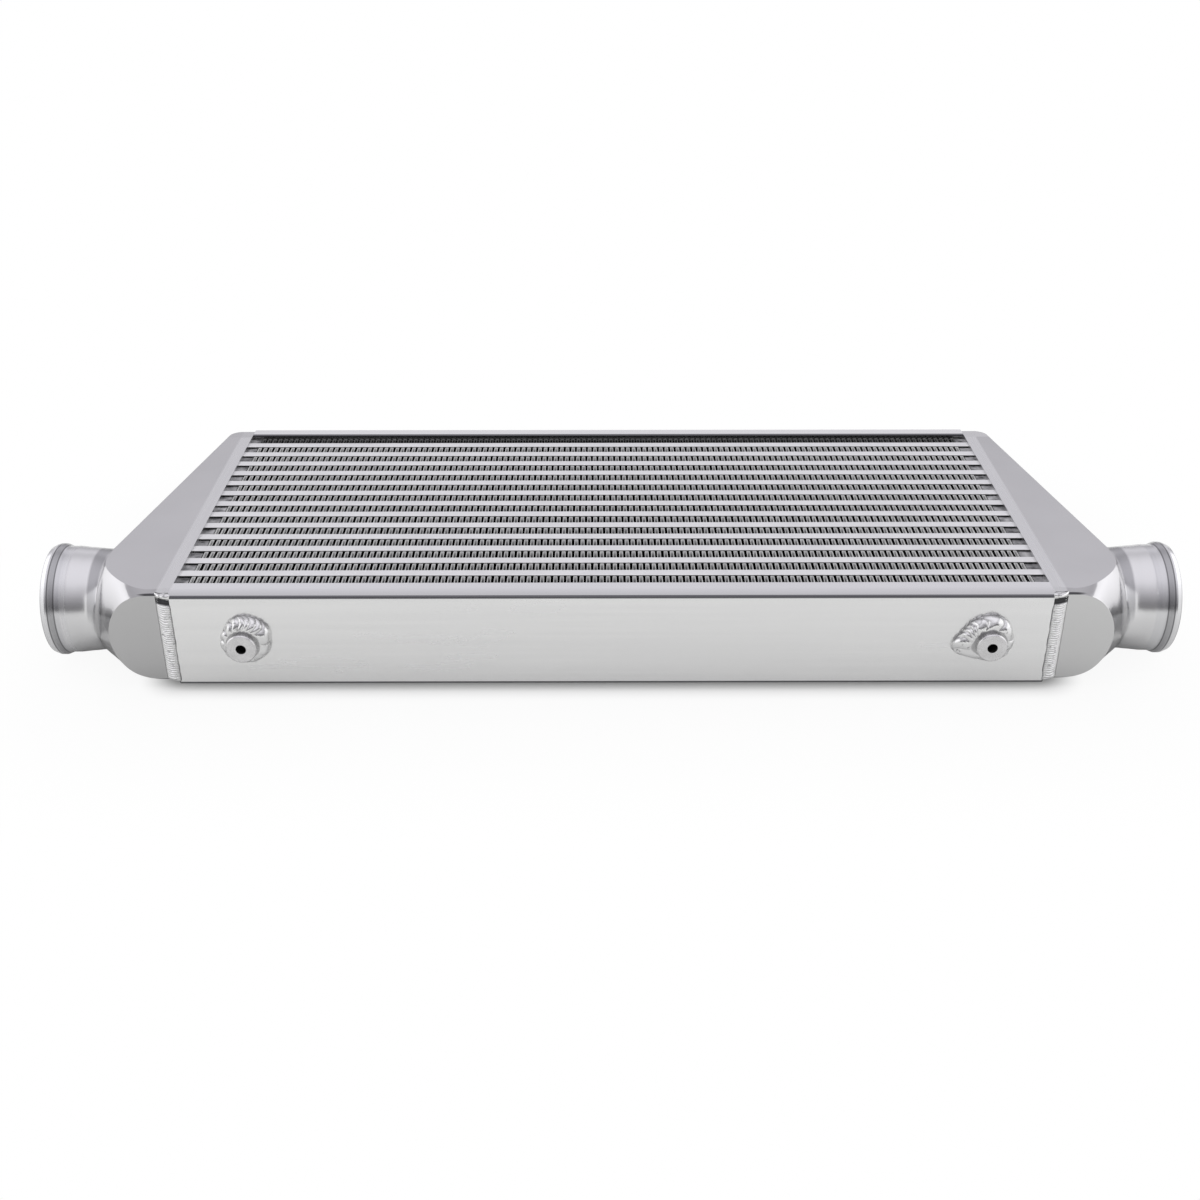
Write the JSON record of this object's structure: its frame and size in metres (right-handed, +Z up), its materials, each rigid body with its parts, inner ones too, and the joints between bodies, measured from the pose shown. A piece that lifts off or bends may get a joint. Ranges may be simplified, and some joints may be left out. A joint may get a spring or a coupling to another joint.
{
  "type": "intercooler",
  "caption": "Bar-and-plate charge air cooler: finned rectangular core between two cast end tanks with beaded round hose spigots, and threaded mounting bosses on one long side.",
  "frame": {"origin": "centre of the bounding box's bottom: under the middle of the cooler, level with the lowest point of the spigot beads", "axes": "+X from the inlet tank to the outlet tank, -Y towards the side with the mounting bosses, +Z up through the core, the way the cooling air flows"},
  "size_m": [0.794, 0.313, 0.0798],
  "materials": {
    "cast_tank": "ground and polished casting",
    "side_plate": "satin",
    "core_sheet": "brazed",
    "closure_bar": "brazed",
    "fin": "brazed",
    "boss": "turned",
    "weld": "rippled weld bead"
  },
  "bodies": {
    "root": {"inlet_tank": "cast_tank", "outlet_tank": "cast_tank", "side_plate_front": "side_plate", "side_plate_rear": "side_plate", "outer_sheet_front": "core_sheet", "outer_sheet_rear": "core_sheet", "cooling_fin_01": "fin", "cooling_fin_02": "fin", "cooling_fin_03": "fin", "cooling_fin_04": "fin", "cooling_fin_05": "fin", "cooling_fin_06": "fin", "cooling_fin_07": "fin", "cooling_fin_08": "fin", "cooling_fin_09": "fin", "cooling_fin_10": "fin", "cooling_fin_11": "fin", "cooling_fin_12": "fin", "cooling_fin_13": "fin", "cooling_fin_14": "fin", "charge_tube_01": "closure_bar", "turbulator_01": "fin", "charge_tube_02": "closure_bar", "turbulator_02": "fin", "charge_tube_03": "closure_bar", "turbulator_03": "fin", "charge_tube_04": "closure_bar", "turbulator_04": "fin", "charge_tube_05": "closure_bar", "turbulator_05": "fin", "charge_tube_06": "closure_bar", "turbulator_06": "fin", "charge_tube_07": "closure_bar", "turbulator_07": "fin", "charge_tube_08": "closure_bar", "turbulator_08": "fin", "charge_tube_09": "closure_bar", "turbulator_09": "fin", "charge_tube_10": "closure_bar", "turbulator_10": "fin", "charge_tube_11": "closure_bar", "turbulator_11": "fin", "charge_tube_12": "closure_bar", "turbulator_12": "fin", "charge_tube_13": "closure_bar", "turbulator_13": "fin", "end_bars_left": "closure_bar", "mounting_boss_left": "boss", "boss_weld_left": "weld", "tank_weld_left_front": "weld", "tank_weld_left_rear": "weld", "end_bars_right": "closure_bar", "mounting_boss_right": "boss", "boss_weld_right": "weld", "tank_weld_right_front": "weld", "tank_weld_right_rear": "weld"}
  },
  "joints": []
}
